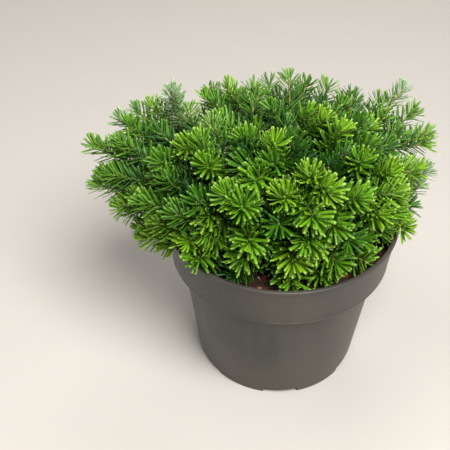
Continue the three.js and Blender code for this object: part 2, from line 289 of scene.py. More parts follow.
# The share of the crown's surface above each climb, and the climbs from the top down.
def climbShares():
    meanReach = (crown["left"] + crown["right"] + crown["front"] + crown["back"]) / 4
    lowest = asin(crown["lowestClimb"])
    steps = crown["steps"]
    climbs, totals = [1], [0]
    lastOut, lastUp = 0, crown["top"]
    for step in range(1, steps + 1):
        climb = sin(pi / 2 - (pi / 2 - lowest) * step / steps)
        out, up = profileAt(climb)
        slant = hypot((out - lastOut) * meanReach, up - lastUp)
        climbs.append(climb)
        totals.append(totals[-1] + pi * (out + lastOut) * meanReach * slant)
        lastOut, lastUp = out, up
    return np.array(totals) / totals[-1], climbs


turnTable = turnShares()
climbTable = climbShares()


def spreadOverCrown(count, firstShare, looseness):
    points = []
    for index in range(count):
        slip = (chance(index, "slip") - 0.5) * looseness * 2 / sqrt(count)
        swing = (chance(index, "swing") - 0.5) * looseness * tipRule["swing"]
        share = index * goldenShare + firstShare + swing
        turn = np.interp(share - floor(share), *turnTable)
        climb = np.interp((index + 0.5) / count + slip, *climbTable)
        points.append(crownPoint(turn, climb))
    return points


aims = [unit(point - heart) for point in spreadOverCrown(massRule["count"], massRule["firstShare"], 0)]


def ownerOf(point):
    return int(np.argmax([aim.dot(point - heart) for aim in aims]))


def roomInCone(point, owner):
    walls = [aims[owner] - aim for index, aim in enumerate(aims) if index != owner]
    return min((point - heart).dot(wall) / norm(wall) for wall in walls)


# Draws a tip in towards the middle of its mass until it has room beside it.
def settled(point, owner):
    for _ in range(tipRule["mostPulls"]):
        if roomInCone(point, owner) >= tipRule["room"]:
            break
        middle = aims[owner] * norm(point - heart) + heart
        point = middle + (point - middle) * tipRule["pull"]
    return point


# Tips spread over the crown. The nearest tip not yet moved takes each leader's place.
def growTips():
    tips = spreadOverCrown(tipRule["count"], 0, tipRule["looseness"])
    for index, point in enumerate(tips):
        depth = tipRule["leastDepth"] + tipRule["depthRange"] * chance(index, "depth")
        tips[index] = heart + (point - heart) * depth
    led = set()
    for leader in leaders:
        free = [index for index in range(len(tips)) if index not in led]
        nearest = min(free, key=lambda index: norm(tips[index] - leader))
        tips[nearest] = np.array(leader, float)
        led.add(nearest)
    return tips


def gatherMasses():
    gathered = [{"aim": aim, "tips": []} for aim in aims]
    for point in growTips():
        owner = ownerOf(point)
        gathered[owner]["tips"].append(settled(point, owner))
    for mass in gathered:
        mass["reach"] = np.mean([norm(point - heart) for point in mass["tips"]])
    return gathered


masses = gatherMasses()
massNodes = [f"foliage_{index:02d}" for index in range(massRule["count"])]
boughNodes = [f"bough_{index:02d}" for index in range(1, massRule["count"])]


def pointInMass(mass, share):
    return mass["aim"] * mass["reach"] * share + heart


print("crown laid out:", len(masses), "masses")


# Corners are radius, height and fillet, from the middle of the underside round to the middle of the floor.
pot = {
    "corners": [
        (75.3, 0, 1.4), (76.3, 8.6, 0.4), (77, 9.3, 0.5), (90.6, 119.5, 1.2),
        (99.2, 119.5, 0.7), (99.9, 120.6, 0.6), (99.7, 122.6, 0.8), (103.6, 157.6, 1.2),
        (105, 158, 0.7), (105, 161, 1.3), (101.4, 161, 1.1), (97.3, 121.7, 1.5),
        (88.4, 119.5, 1.5), (73.6, 4.2, 4),
    ],
    "floor": 4.2, "filletSteps": 5, "mostFillet": 0.45, "sides": 180, "sharpAngle": 40,
    "notches": 6, "notchWidth": 32, "notchHeight": 5.4, "notchDepth": 22,
    "notchTurn": -88.6, "notchRounding": 0.3, "notchProud": 1,
}
# The cloud's seed sets the darker cool patches on the pot's left, where it is in shade: partly painted shade.
potColours = {"cool": "#333430", "warm": "#48423b", "dust": "#554f48", "scuff": "#8b8377", "toneAndShadeSeed": 6}
potRubAndHighlight = [(119.9, 0.8), (8.9, 0.5)]  # height and half-width of the pale bands at edges: wear on both, and at the collar's lower edge also a painted highlight line


def mouldedPolypropylene():
    # Recycled polypropylene, injection moulded: a satin taupe with broad soft highlights, cooler and
    # warmer by turns, with a bloom of dust in vertical drifts, pale flecks and pale edge wear. The darker
    # cool patches lie on the pot's left as painted shade, and the pale band at the collar's lower edge is
    # also a painted highlight line.
    material, tree, shader, place = patternedMaterial("mouldedPolypropylene", 0.42, 1.49)
    tones = {name: linearColour(potColours[name]) for name in ("cool", "warm", "dust", "scuff")}
    # cool and warm patches, the darker cool ones on the pot's shaded left as painted shade
    cloud = addNode(tree, "TexNoise", {"noise_dimensions": "4D", "W": potColours["toneAndShadeSeed"],
                                       "Scale": perMetre(110), "Detail": 1}, {"Vector": place})
    warmth = addNode(tree, "MapRange", mapped(0.4, 0.6), {"Value": cloud})
    body = addNode(tree, "Mix", {"data_type": "RGBA", 6: tones["cool"], 7: tones["warm"]}, {0: warmth})
    drift = addNode(tree, "Mapping", {"Scale": (1, 1, 0.25)}, {"Vector": place})
    dust = addNode(tree, "TexNoise", {"Scale": perMetre(28), "Detail": 5, "Roughness": 0.6},
                   {"Vector": drift})
    dusty = addNode(tree, "MapRange", mapped(0.45, 0.72, 0, 0.7), {"Value": dust})
    body = addNode(tree, "Mix", {"data_type": "RGBA", 7: tones["dust"]}, {0: dusty, 6: body.outputs[2]})
    slant = addNode(tree, "Mapping", {"Scale": (1, 1, 2.2), "Rotation": (0.5, 0.3, 0)}, {"Vector": place})
    scuff = addNode(tree, "TexNoise", {"Scale": perMetre(7), "Detail": 2}, {"Vector": slant})
    scuffedAndHighlit = addNode(tree, "MapRange", mapped(0.73, 0.77, 0, 0.45), {"Value": scuff})
    patchy = addNode(tree, "MapRange", mapped(0.38, 0.6, 0.1, 0.75), {"Value": dust})
    height = addNode(tree, "SeparateXYZ", links={"Vector": place}).outputs["Z"]
    # pale bands: wear at the foot step and the collar, and at the collar also a painted highlight line along
    # its lower edge
    for middle, half in potRubAndHighlight:
        band = addNode(tree, "Math", {"operation": "COMPARE", 1: middle * mm, 2: half * mm}, {0: height})
        rubbedAndHighlit = addNode(tree, "Math", {"operation": "MULTIPLY"}, {0: band, 1: patchy})
        scuffedAndHighlit = addNode(tree, "Math", {"operation": "MAXIMUM"}, {0: scuffedAndHighlit, 1: rubbedAndHighlit})
    body = addNode(tree, "Mix", {"data_type": "RGBA", 7: tones["scuff"]}, {0: scuffedAndHighlit, 6: body.outputs[2]})
    tree.links.new(body.outputs[2], shader.inputs["Base Color"])
    matt = addNode(tree, "MapRange", mapped(0.3, 0.75, 0.38, 0.54), {"Value": dust})
    tree.links.new(matt.outputs[0], shader.inputs["Roughness"])
    # the mould's spark texture is about 0.2 mm, drawn at 1.2 mm so that it shows
    spark = addNode(tree, "TexNoise", {"Scale": perMetre(1.2), "Detail": 2}, {"Vector": place})
    relief = addNode(tree, "Bump", {"Strength": 0.12, "Distance": 0.0003}, {"Height": spark})
    tree.links.new(relief.outputs[0], shader.inputs["Normal"])
    return material


# Corners rounded by a short curve each, between an open profile's ends.
def roundedProfile(corners):
    rounded = [corners[0][:2]]
    for before, corner, after in zip(corners, corners[1:], corners[2:]):
        middle = np.array(corner[:2], float)
        towards = [np.array(end[:2], float) - middle for end in (before, after)]
        cuts = [min(corner[2], norm(way) * pot["mostFillet"]) for way in towards]
        start, stop = [middle + unit(way) * cut for way, cut in zip(towards, cuts)]
        for step in range(pot["filletSteps"] + 1):
            t = step / pot["filletSteps"]
            rounded.append(tuple(start * (1 - t) ** 2 + middle * 2 * t * (1 - t) + stop * t * t))
    return rounded + [corners[-1][:2]]


# A closed body of revolution whose profile starts and ends on the axis.
def revolved(profile, sides):
    rings = profile[1:-1]
    points = [(0, 0, profile[0][1])]
    for radius, height in rings:
        for side in range(sides):
            turn = side / sides * fullTurn
            points.append((radius * cos(turn), radius * sin(turn), height))
    points.append((0, 0, profile[-1][1]))
    faces = []
    for side in range(sides):
        after = (side + 1) % sides
        faces.append((0, 1 + after, 1 + side))
        for ring in range(len(rings) - 1):
            low, high = 1 + ring * sides, 1 + (ring + 1) * sides
            faces.append((low + side, low + after, high + after, high + side))
        last = 1 + (len(rings) - 1) * sides
        faces.append((last + side, last + after, len(points) - 1))
    return points, faces


# A round-edged box that cuts one drain notch, pointing out at a turn.
def notchCutter(turn):
    bpy.ops.mesh.primitive_cube_add(size=1)
    cutter = bpy.context.object
    cutter.scale = (pot["notchDepth"] * mm, pot["notchWidth"] * mm, pot["notchHeight"] * 2 * mm)
    bpy.ops.object.transform_apply(location=False, rotation=False, scale=True)
    rounding = cutter.modifiers.new("rounding", "BEVEL")
    rounding.width = pot["notchHeight"] * pot["notchRounding"] * mm
    rounding.segments = 3
    footRadius = pot["corners"][0][0]
    reach = (footRadius + pot["notchProud"] - pot["notchDepth"] / 2) * mm
    cutter.location = (reach * cos(turn), reach * sin(turn), 0)
    cutter.rotation_euler = (0, 0, turn)
    return cutter


def buildPot():
    outline = [(0, 0, 0), *pot["corners"], (0, pot["floor"], 0)]
    points, faces = revolved(roundedProfile(outline), pot["sides"])
    shell = makePiece("pot_shell", points, faces, [mouldedPolypropylene()])
    for index in range(pot["notches"]):
        cutter = notchCutter(index / pot["notches"] * fullTurn + radians(pot["notchTurn"]))
        cut = shell.modifiers.new("notch", "BOOLEAN")
        cut.object = cutter
        cut.operation = "DIFFERENCE"
        bpy.context.view_layer.objects.active = shell
        bpy.ops.object.modifier_apply(modifier=cut.name)
        bpy.data.objects.remove(cutter)
    shell.data.shade_smooth()
    shell.data.set_sharp_from_angle(angle=radians(pot["sharpAngle"]))
    settle(shell, ["pot"])


buildPot()
print("pot turned and notched")


# The fill's outline inside the pot, and how far its top heaves and crumbles.
soil = {
    "level": 147, "edge": 99.2, "floor": 4.6, "footRadius": 73, "shoulderRadius": 87.9,
    "shoulder": 119.8, "collarRadius": 96.7, "collar": 122, "rings": 64, "sides": 200,
    "heave": 1.6, "heaveScale": 0.045, "crumbs": 1.3, "crumbScale": 0.22,
    "crumbNoise": (0.9, 2.0, 3), "crumbLayer": 9,
    "tones": ["#22140b", "#472b17"],
}
# Bark chips and straws on top of it. Each pair is a least size and the range that chance adds.
litter = {
    "chips": 1500, "length": (2.2, 6.5), "width": (0.25, 0.35), "thickness": (0.6, 1),
    "straws": 45, "strawLength": (10, 5), "strawWidth": 1.3, "strawThickness": 0.6,
    "tilt": 0.9, "proud": 0.3, "edgeGap": 2, "corners": 6, "cornerReach": (0.75, 0.5),
    "upperInset": 0.8, "sharpAngle": 30,
    "tones": ["#2a180d", "#4a2714", "#703a1c", "#8a6a4c", "#d4c6ac", "#a88d5c"],
    "shares": [0.42, 0.74, 0.91, 0.965, 1],
}


def compostedPeat():
    # Moist peat and composted bark: nearly black in the hollows, red-brown on the crumbs, quite matt.
    material, tree, shader, place = patternedMaterial("compostedPeat", 0.9, 1.45)
    crumbs = addNode(tree, "TexNoise", {"Scale": perMetre(5), "Detail": 6, "Roughness": 0.7},
                     {"Vector": place})
    relief = {"Strength": 0.6, "Distance": 0.0015}
    showPattern(tree, shader, crumbs.outputs[0], soil["tones"], mapped(0.35, 0.68), relief)
    return material


def barkChip(index):
    # Broken pine bark, wood fibre and, last of the tones, fallen needles: dry, matt, each one tone.
    return plainMaterial(f"barkChip{index}", 0.85, 1.45, litter["tones"][index])


def soilHeight(x, y):
    low = noise.noise(Vector((x, y, 0)) * soil["heaveScale"]) * soil["heave"]
    place = Vector((x, y, soil["crumbLayer"])) * soil["crumbScale"]
    crumbs = noise.fractal(place, *soil["crumbNoise"]) * soil["crumbs"]
    return soil["level"] + low + crumbs


def buildSoil():
    profile = [
        (0, soil["floor"]),
        (soil["footRadius"], soil["floor"]),
        (soil["shoulderRadius"], soil["shoulder"]),
        (soil["collarRadius"], soil["collar"]),
    ]
    rings = [(soil["edge"] * (1 - ring / soil["rings"]), soil["level"]) for ring in range(soil["rings"])]
    points, faces = revolved(profile + rings + [(0, soil["level"])], soil["sides"])
    heaved = [(x, y, soilHeight(x, y) if z > soil["collar"] else z) for x, y, z in points]
    settle(makePiece("soil_bed", heaved, faces, [compostedPeat()]), ["soil"])


# A flat broken flake: two rings of corners, the upper one smaller.
def flake(centre, length, width, thickness, turn, tilt, key):
    corners = litter["corners"]
    points = []
    for level, inset in ((-1, 1), (1, litter["upperInset"])):
        for corner in range(corners):
            angle = corner / corners * fullTurn
            size = inset * within(litter["cornerReach"], chance(key, draws["corner"] + corner))
            x, y = cos(angle) * length / 2 * size, sin(angle) * width / 2 * size
            points.append((x, y, level * thickness / 2))
    spin = np.array([[cos(turn), -sin(turn), 0], [sin(turn), cos(turn), 0], [0, 0, 1]])
    lean = np.array([[1, 0, 0], [0, cos(tilt), -sin(tilt)], [0, sin(tilt), cos(tilt)]])
    return np.array(points) @ lean.T @ spin.T + centre, ringFaces(2, corners)


# Length, width, thickness and tone of a chip, or of a straw once the chips are laid.
def flakeSizes(index):
    if index >= litter["chips"]:
        length = within(litter["strawLength"], chance(index, "length"))
        return length, litter["strawWidth"], litter["strawThickness"], len(litter["tones"]) - 1
    length = within(litter["length"], chance(index, "length") ** 2)
    width = length * within(litter["width"], chance(index, "width"))
    thickness = within(litter["thickness"], chance(index, "thickness"))
    tone = next(at for at, share in enumerate(litter["shares"]) if chance(index, "tone") <= share)
    return length, width, thickness, tone


def buildLitter():
    heap = Heap()
    for index in range(litter["chips"] + litter["straws"]):
        length, width, thickness, tone = flakeSizes(index)
        radius = (soil["edge"] - length / 2 - litter["edgeGap"]) * sqrt(chance(index, "radius"))
        turn = chance(index, "turn") * fullTurn
        x, y = radius * cos(turn), radius * sin(turn)
        centre = (x, y, soilHeight(x, y) + thickness * litter["proud"])
        tilt = (chance(index, "tilt") - 0.5) * litter["tilt"]
        spin = chance(index, "spin") * fullTurn
        heap.add(*flake(centre, length, width, thickness, spin, tilt, index), tone)
    materials = [barkChip(index) for index in range(len(litter["tones"]))]
    chips = makePiece("soil_chips", heap.points, heap.faces, materials, heap.slots, litter["sharpAngle"])
    settle(chips, ["soil"])


buildSoil()
buildLitter()
print("soil filled")


trunk = {
    "foot": 147.3, "flareRadius": 9.5, "flareHeight": 7, "rootRadius": 6.6, "tipRadius": 3,
    "bend": 20, "sides": 40, "rings": 60, "relief": 0.55, "barkKey": 3, "halvings": 30,
}
bough = {
    "rootRadius": 3, "tipRadius": 2.2, "lowest": 153, "highest": 197, "share": 0.44,
    "crowding": 0.8, "straight": 0.5, "sides": 14, "rings": 26, "relief": 0.25,
}
# Plates and ridges of the bark: how far they stretch along the limb, and how many come to a millimetre.
barkScales = {"stretch": 0.5, "plates": 0.5, "ridges": 0.9, "plateShare": 0.35}
barkTones = {"old": ["#8a6b52", "#4a3526"], "second": ["#7a5230", "#96703f"], "first": ["#6c7430", "#8c9044"]}


def scalyFirBark():
    # Grey-brown fir bark with resin blisters: matt, mottled across, darker in its cracks.
    material, tree, shader, place = patternedMaterial("scalyFirBark", 0.85, 1.45)
    cells = addNode(tree, "TexVoronoi", {"Scale": perMetre(2.4)}, {"Vector": place})
    mottle = addNode(tree, "TexNoise", {"Scale": perMetre(4), "Detail": 5}, {"Vector": place})
    height = addNode(tree, "Math", {"operation": "MULTIPLY"}, {0: cells, 1: mottle})
    relief = {"Strength": 0.7, "Distance": 0.0006, "invert": True}
    showPattern(tree, shader, height.outputs[0], barkTones["old"], mapped(0.05, 0.45), relief)
    return material


def youngFirBark(name, tones):
    # Twigs of the last years: smooth bark with faint ridges, slightly waxy, olive at first
    # and orange-brown from its second year on.
    material, tree, shader, place = patternedMaterial(name, 0.62, 1.45)
    mottle = addNode(tree, "TexNoise", {"Scale": perMetre(3), "Detail": 4}, {"Vector": place})
    relief = {"Strength": 0.3, "Distance": 0.0003}
    showPattern(tree, shader, mottle.outputs[0], tones, mapped(0.35, 0.65), relief)
    return material


def bezier(controls, share):
    points = [np.asarray(control, float) for control in controls]
    while len(points) > 1:
        points = [a + (b - a) * share for a, b in zip(points, points[1:])]
    return points[0]


def curve(controls, steps):
    return np.array([bezier(controls, share) for share in np.linspace(0, 1, steps + 1)])


def trunkControls():
    foot = np.array([0, 0, trunk["foot"]])
    top = pointInMass(masses[0], bough["share"])
    return foot, foot + np.array([0, 0, trunk["bend"]]), top - masses[0]["aim"] * trunk["bend"], top


def trunkPointAt(height):
    low, high = 0, 1
    for _ in range(trunk["halvings"]):
        middle = (low + high) / 2
        if bezier(trunkControls(), middle)[2] < height:
            low = middle
        else:
            high = middle
    return bezier(trunkControls(), low)


def trunkRadiusAt(height):
    foot, top = trunkControls()[0][2], trunkControls()[3][2]
    plain = trunk["rootRadius"] + (trunk["tipRadius"] - trunk["rootRadius"]) * (height - foot) / (top - foot)
    flare = max(0, 1 - (height - foot) / trunk["flareHeight"])
    return plain + (trunk["flareRadius"] - trunk["rootRadius"]) * flare * flare


# Bark plates and ridges: low scales round the limb, stretched a little along it.
def barkRelief(depth, girth, key):
    def relief(sideShare, travelled):
        angle = sideShare * fullTurn
        along = travelled * barkScales["stretch"]
        place = Vector((cos(angle) * girth, sin(angle) * girth, along))
        plates = noise.cell(place * barkScales["plates"] + Vector((key, 0, 0))) - 0.5
        ridges = noise.noise(place * barkScales["ridges"] + Vector((0, key, 0)))
        return depth * (barkScales["plateShare"] * plates + ridges)
    return relief


def buildTrunk():
    points = curve(trunkControls(), trunk["rings"])
    radii = [trunkRadiusAt(point[2]) for point in points]
    relief = barkRelief(trunk["relief"], trunk["rootRadius"], trunk["barkKey"])
    rings, faces = tube(points, radii, trunk["sides"], relief)
    settle(makePiece("trunk_bark", rings, faces, [bark]), ["trunk"])


def buildBoughs():
    heap = Heap()
    shares = np.linspace(0, 1, bough["rings"] + 1)
    for index in range(1, len(masses)):
        mass = masses[index]
        step = (index - 1) / (len(masses) - 2)
        drop = (bough["lowest"] - bough["highest"]) * step ** bough["crowding"]
        root = trunkPointAt(bough["highest"] + drop)
        end = pointInMass(mass, bough["share"])
        bend = end - mass["aim"] * bough["straight"] * norm(end - root)
        points = curve((root, bend, end), bough["rings"])
        radii = bough["rootRadius"] + (bough["tipRadius"] - bough["rootRadius"]) * shares
        relief = barkRelief(bough["relief"], bough["rootRadius"], index)
        heap.add(*tube(points, radii, bough["sides"], relief))
    settle(makePiece("bough_bark", heap.points, heap.faces, [bark]), boughNodes)


bark = scalyFirBark()
buildTrunk()
buildBoughs()
print("trunk and boughs grown")


shoot = {
    "length": 34, "mostOfReach": 0.8, "rise": 0.25, "droop": 0.3, "wander": 0.45,
    "stemShare": 0.63, "stemGap": 0.3, "stemRings": 5, "forkSpread": 0.1,
    "bendToFoot": 0.65, "bendToEnd": 0.2, "lift": 1.5, "mostLifts": 20, "lookReach": 12,
    "limbRoom": 3.3, "limbSamples": 13, "stemRadius": 2.2, "stemTipRadius": 1.7,
    "twigRadius": 1.2, "endRadius": 0.75, "sides": 7, "rings": 10,
}
fillRule = {
    "count": 230, "firstShare": 0.37, "leastDepth": 0.67, "depthRange": 0.14, "room": 19,
    "wander": 0.55, "start": 0.42, "likeParent": 0.6, "radius": 1.0, "firstKey": 1000,
    "edgeKey": 500,
}
# Side shoots that thicken the crown's edge: x, y, z of the wood's tip, and the tint.
edgeTips = [
    ((-140, 25, 241), "silver"), ((-130, 12, 243), "summer"), ((-115, 45, 242), "fresh"),
    ((-62, 62, 246), "leafy"), ((-48, 62, 251), "fresh"), ((-26, 55, 254), "young"),
    ((56, 60, 241), "summer"), ((86, 55, 241), "summer"), ((78, 45, 236), "leafy"),
    ((121, 18, 222), "fresh"), ((116, -4, 191), "silver"), ((108, -14, 179), "mature"),
    ((103, -30, 166), "fresh"), ((-157, -12, 199), "young"),
]
leaderTints = [
    "young", "leafy", "leafy", "silver", "hazy", "silver", "young",
    "hazy", "silver", "fresh", "summer", "summer", "shaded",
]
# How some leaders differ: the tint at the foot, the way one points and how far its tip is moved, and its
# needles' spacing as a share of the usual one, their extra lean in degrees and their size.
leaderLooks = {
    0: {"closer": 0.8},
    1: {"closer": 0.85},
    3: {"foot": "silver", "axis": (0.05, -0.1, 1), "shift": (4, 0, -2), "closer": 0.45, "wider": 14,
        "finer": 0.95},
    8: {"axis": (0.95, 0.1, 0.25), "shift": (8, 0, -1)},
}
# The room that the pot leaves: its rim outside, its collar inside, and the top of the soil.
potRoom = {
    "height": 161, "rimRadius": 105, "collarFoot": 119.5, "innerFoot": 97.3,
    "slope": 4.1 / 41.5, "soil": 148.5,
}


# True where each row of points lies all above the rim, all outside it, or all inside it over the soil.
def clearOfPot(rows, gap):
    rows = np.asarray(rows, float)
    radii = np.hypot(rows[..., 0], rows[..., 1])
    heights = rows[..., 2]
    inner = potRoom["innerFoot"] + (heights - potRoom["collarFoot"]) * potRoom["slope"]
    above = np.all(heights > potRoom["height"] + gap, axis=-1)
    outside = np.all(radii > potRoom["rimRadius"] + gap, axis=-1)
    inside = np.all((radii < inner - gap) & (heights > potRoom["soil"] + gap), axis=-1)
    return above | outside | inside


def limbClears(corners):
    samples = np.linspace(0, 1, shoot["limbSamples"])[:, None]
    for start, stop in zip(corners, corners[1:]):
        points = start + (stop - start) * samples
        if not clearOfPot(np.stack([points[:-1], points[1:]], axis=1), shoot["limbRoom"]).all():
            return False
    return True


# A bent twig from its fork that straightens towards its end.
def shootPath(fork, foot, end):
    toFoot, toEnd = shoot["bendToFoot"], shoot["bendToEnd"]
    controls = (fork, fork * (1 - toFoot) + foot * toFoot, foot * (1 - toEnd) + end * toEnd, end)
    return curve(controls, shoot["rings"])


# Turns a direction aside a little, its own way for each shoot.
def wandered(axis, key, amount):
    drift = np.array([chance(key, way) for way in ("driftX", "driftY", "driftZ")]) - 0.5
    return unit(axis + drift * 2 * amount)


# How a shoot looks where its tip is a leader's, and nothing of its own where it isn't.
def lookOf(end):
    for index, (leader, tint) in enumerate(zip(leaders, leaderTints)):
        if norm(np.array(leader) - end) < shoot["lookReach"]:
            return {"tint": tint, **leaderLooks.get(index, {})}
    return {}


def mainShoot(mass, end, rank, key):
    fork = pointInMass(mass, shoot["stemShare"] - shoot["forkSpread"] * rank)
    look = lookOf(end)
    end = end + np.array(look.get("shift", (0, 0, 0)), float)
    straight = end - fork
    length = min(shoot["length"], norm(straight) * shoot["mostOfReach"])
    axis = unit(unit(straight) + unit(end - heart) + np.array([0, 0, shoot["rise"]]))
    if "axis" in look:
        axis = unit(np.array(look["axis"], float))
    elif not look:
        axis = wandered(axis - np.array([0, 0, shoot["droop"]]) * max(0, -axis[1]), key, shoot["wander"])
    foot = end - axis * length
    for _ in range(shoot["mostLifts"]):
        if limbClears((fork, foot, end)):
            break
        foot[2] += shoot["lift"]
        end[2] += shoot["lift"]
    return {"path": shootPath(fork, foot, end), "end": end, "axis": axis, "young": length, "look": look}


def mainShoots():
    grown = []
    for owner, mass in enumerate(masses):
        byMiddle = sorted(mass["tips"], key=lambda point: -unit(point - heart).dot(mass["aim"]))
        for rank, point in enumerate(byMiddle):
            line = mainShoot(mass, point, rank / (len(byMiddle) - 1), len(grown))
            grown.append({**line, "owner": owner, "radius": shoot["twigRadius"], "key": len(grown)})
    return grown


# A shorter shoot that forks from the nearest main one of its mass, or None where the pot is in its way.
def sideShoot(main, end, key, look):
    owner = ownerOf(end)
    parents = [line for line in main if line["owner"] == owner]
    starts = [line["path"][round(fillRule["start"] * shoot["rings"])] for line in parents]
    nearest = int(np.argmin([norm(start - end) for start in starts]))
    fork = starts[nearest]
    axis = unit(unit(end - fork) + fillRule["likeParent"] * parents[nearest]["axis"])
    axis = wandered(axis, key, fillRule["wander"])
    length = min(shoot["length"], norm(end - fork) * shoot["mostOfReach"])
    foot = end - axis * length
    if not limbClears((fork, foot, end)):
        return None
    return {"path": shootPath(fork, foot, end), "end": end, "axis": axis, "young": length, "look": look,
            "owner": owner, "radius": fillRule["radius"], "key": fillRule["firstKey"] + key}


# Side shoots at the crown's edge, then those that fill the cushion behind the tips.
def sideShoots(main):
    grown = [sideShoot(main, np.array(end, float), fillRule["edgeKey"] + index, {"tint": tint})
             for index, (end, tint) in enumerate(edgeTips)]
    taken = [line["end"] for line in [*main, *grown]]
    points = spreadOverCrown(fillRule["count"], fillRule["firstShare"], tipRule["looseness"])
    for index, point in enumerate(points):
        depth = fillRule["leastDepth"] + fillRule["depthRange"] * chance(index, "fillDepth")
        end = heart + (point - heart) * depth
        if min(norm(other - end) for other in taken) < fillRule["room"]:
            continue
        line = sideShoot(main, end, index, {})
        if line:
            taken.append(end)
            grown.append(line)
    return grown


def stepLengths(path):
    return norm(np.diff(path, axis=0), axis=1)


# The ring of a shoot's path where its last year's growth begins.
def yearRing(line):
    steps = stepLengths(line["path"])
    return int(np.searchsorted(np.cumsum(steps), steps.sum() - line["young"]))


# A stem for each mass, then the shoots, whose wood is brown up to the last year's growth.
def buildTwigs():
    heap = Heap()
    for mass in masses:
        start = pointInMass(mass, bough["share"]) + mass["aim"] * shoot["stemGap"]
        end = pointInMass(mass, shoot["stemShare"]) + mass["aim"]
        line = [start + (end - start) * share for share in np.linspace(0, 1, shoot["stemRings"])]
        radii = np.linspace(shoot["stemRadius"], shoot["stemTipRadius"], shoot["stemRings"])
        heap.add(*tube(line, radii, shoot["sides"]))
    for line in shoots:
        radii = np.linspace(line["radius"], shoot["endRadius"], len(line["path"]))
        rings, faces = tube(line["path"], radii, shoot["sides"])
        oldFaces = max(1, yearRing(line)) * shoot["sides"]
        heap.add(rings, faces, [0] * oldFaces + [1] * (len(faces) - oldFaces))
    materials = [youngFirBark("secondYearBark", barkTones["second"]),
                 youngFirBark("firstYearBark", barkTones["first"])]
    settle(makePiece("twigs", heap.points, heap.faces, materials, heap.slots), massNodes)


mainLines = mainShoots()
sideLines = sideShoots(mainLines)
shoots = mainLines + sideLines
buildTwigs()
print("shoots grown:", len(mainLines), "main and", len(sideLines), "side")


# Lengths are millimetres and angles degrees. A spread is what chance adds or takes, in degrees or shares.
needle = {
    "seed": 17, "leaderPitch": 1.05, "fillPitch": 1.2, "oldPitch": 1.05, "oldReach": 30,
    "leastOld": 4, "bareFoot": 2, "length": 17.5, "oldLength": 14.5, "taper": 0.12,
    "stray": 0.5, "whorlLength": 13, "whorlLean": (14, 56), "leanAtFoot": 68,
    "leanAtTip": 53, "leanSpread": 5, "lengthSpread": 0.09, "width": 2.85,
    "widthSpread": 0.15, "curl": 0.15, "curlSpread": 0.1, "lift": 0.25, "facesUp": 1.5,
    "inward": 0.3, "roll": 28, "cuts": (1, 0.8, 0.6), "potGap": 0.6, "mostInPiece": 6800,
}
# Brighter tints take a higher mood. The lists run from the crown's front to its back, at "depths".
vigour = {
    "steps": {"fresh": 0.86, "young": 0.66, "summer": 0.46, "leafy": 0.28, "mature": 0.14},
    "mood": {"least": -0.04, "chance": 0.9, "up": 0.1, "front": 0.16, "sideways": 0.12},
    "shade": 0.6, "hazeFrom": 0.3, "hazeShare": 0.3, "toneSeed": 105381, "hazeSeed": 980961,
    "footShare": 0.55, "footSteps": 2,
    "waxyFoot": {"silver": "hazy", "hazy": "mature"},
    "depths": (-90, -30, 50), "lengths": (1.22, 1.03, 0.9), "widths": (1, 0.83, 0.68),
    "pitches": (0.5, 0.62, 0.76), "combs": (0, 0.25, 0.45), "leans": (0, 3, 9),
    "whorls": (14, 12, 8), "oldWidth": 0.75,
    "slender": {"leafy": 0.92, "mature": 0.84, "shaded": 0.8, "hazy": 0.92},
}
# share of the length, half-width, groove and keel at each ring; the last ring is the notched tip
needleRings = [
    (0.0, 0.4, 0.05, -0.25),
    (0.3, 0.92, -0.04, -0.26),
    (0.88, 1.0, -0.04, -0.2),
    (1.0, 0.56, 0.0, -0.1),
]
needleNotch = 0.045
needleSides = {"upper": 0.36, "tip": 0.42, "underside": 0.6}  # roughness of each side
# The tip colour, paler than the upper one, is partly the needle's own and partly a painted highlight on the
# tips.
needleTints = {  # a colour for each of those sides
    "fresh": ["#7bac1e", "#9cc04a", "#7ea83a"],
    "young": ["#699f1c", "#8cb444", "#6f9f34"],
    "summer": ["#5d9118", "#80a840", "#63942e"],
    "leafy": ["#53891a", "#6e9a36", "#628e3c"],
    "mature": ["#437815", "#5c8c30", "#5a8644"],
    "shaded": ["#27540b", "#326213", "#3c6630"],
    "hazy": ["#6f9e30", "#a0c468", "#88ac58"],
    "silver": ["#84a668", "#b4cc9c", "#aec2a0"],
    # the old needles inside the crown are near black: their own dark green and painted shade of the crown's
    # inside
    "old": ["#102f02", "#1a3c05", "#1e400f"],
}
# Columns of a needle's row: where it starts, which way it points, its upper face's way, and its sizes.
column = {
    "start": slice(0, 3), "way": slice(3, 6), "upper": slice(6, 9),
    "length": 9, "width": 10, "curl": 11,
}


def waxyNeedle(tint, side, colour):
    # A leathery fir needle under its cuticle: semi-gloss green above, so that each one carries a thin
    # highlight, a paler tip that is partly its own colour and partly a painted highlight, and an underside
    # that its wax turns paler and matt.
    return plainMaterial(f"{tint}Needle{side.capitalize()}", needleSides[side], 1.47, colour)


def rowsAt(distances, travelled, rows):
    return np.stack([np.interp(distances, travelled, rows[:, axis]) for axis in range(3)], axis=1)


# Points, unit tangents and two sides along a path, at distances from its start.
def framesAlong(path, distances):
    travelled = np.concatenate([[0], np.cumsum(stepLengths(path))])
    points = rowsAt(distances, travelled, path)
    tangents = unitRows(rowsAt(distances, travelled, np.gradient(path, travelled, axis=0)))
    helper = unit(np.array([0, 0, 1]) - needle["inward"] * unit((path[-1] - heart) * (1, 1, 0)))
    side = unitRows(helper - tangents * (tangents @ helper)[:, None])
    return points, tangents, side, np.cross(tangents, side)


# Shoots change from the front of the crown to its back: a value for this one.
def atDepthOf(line, name):
    return np.interp(line["end"][1], vigour["depths"], vigour[name])


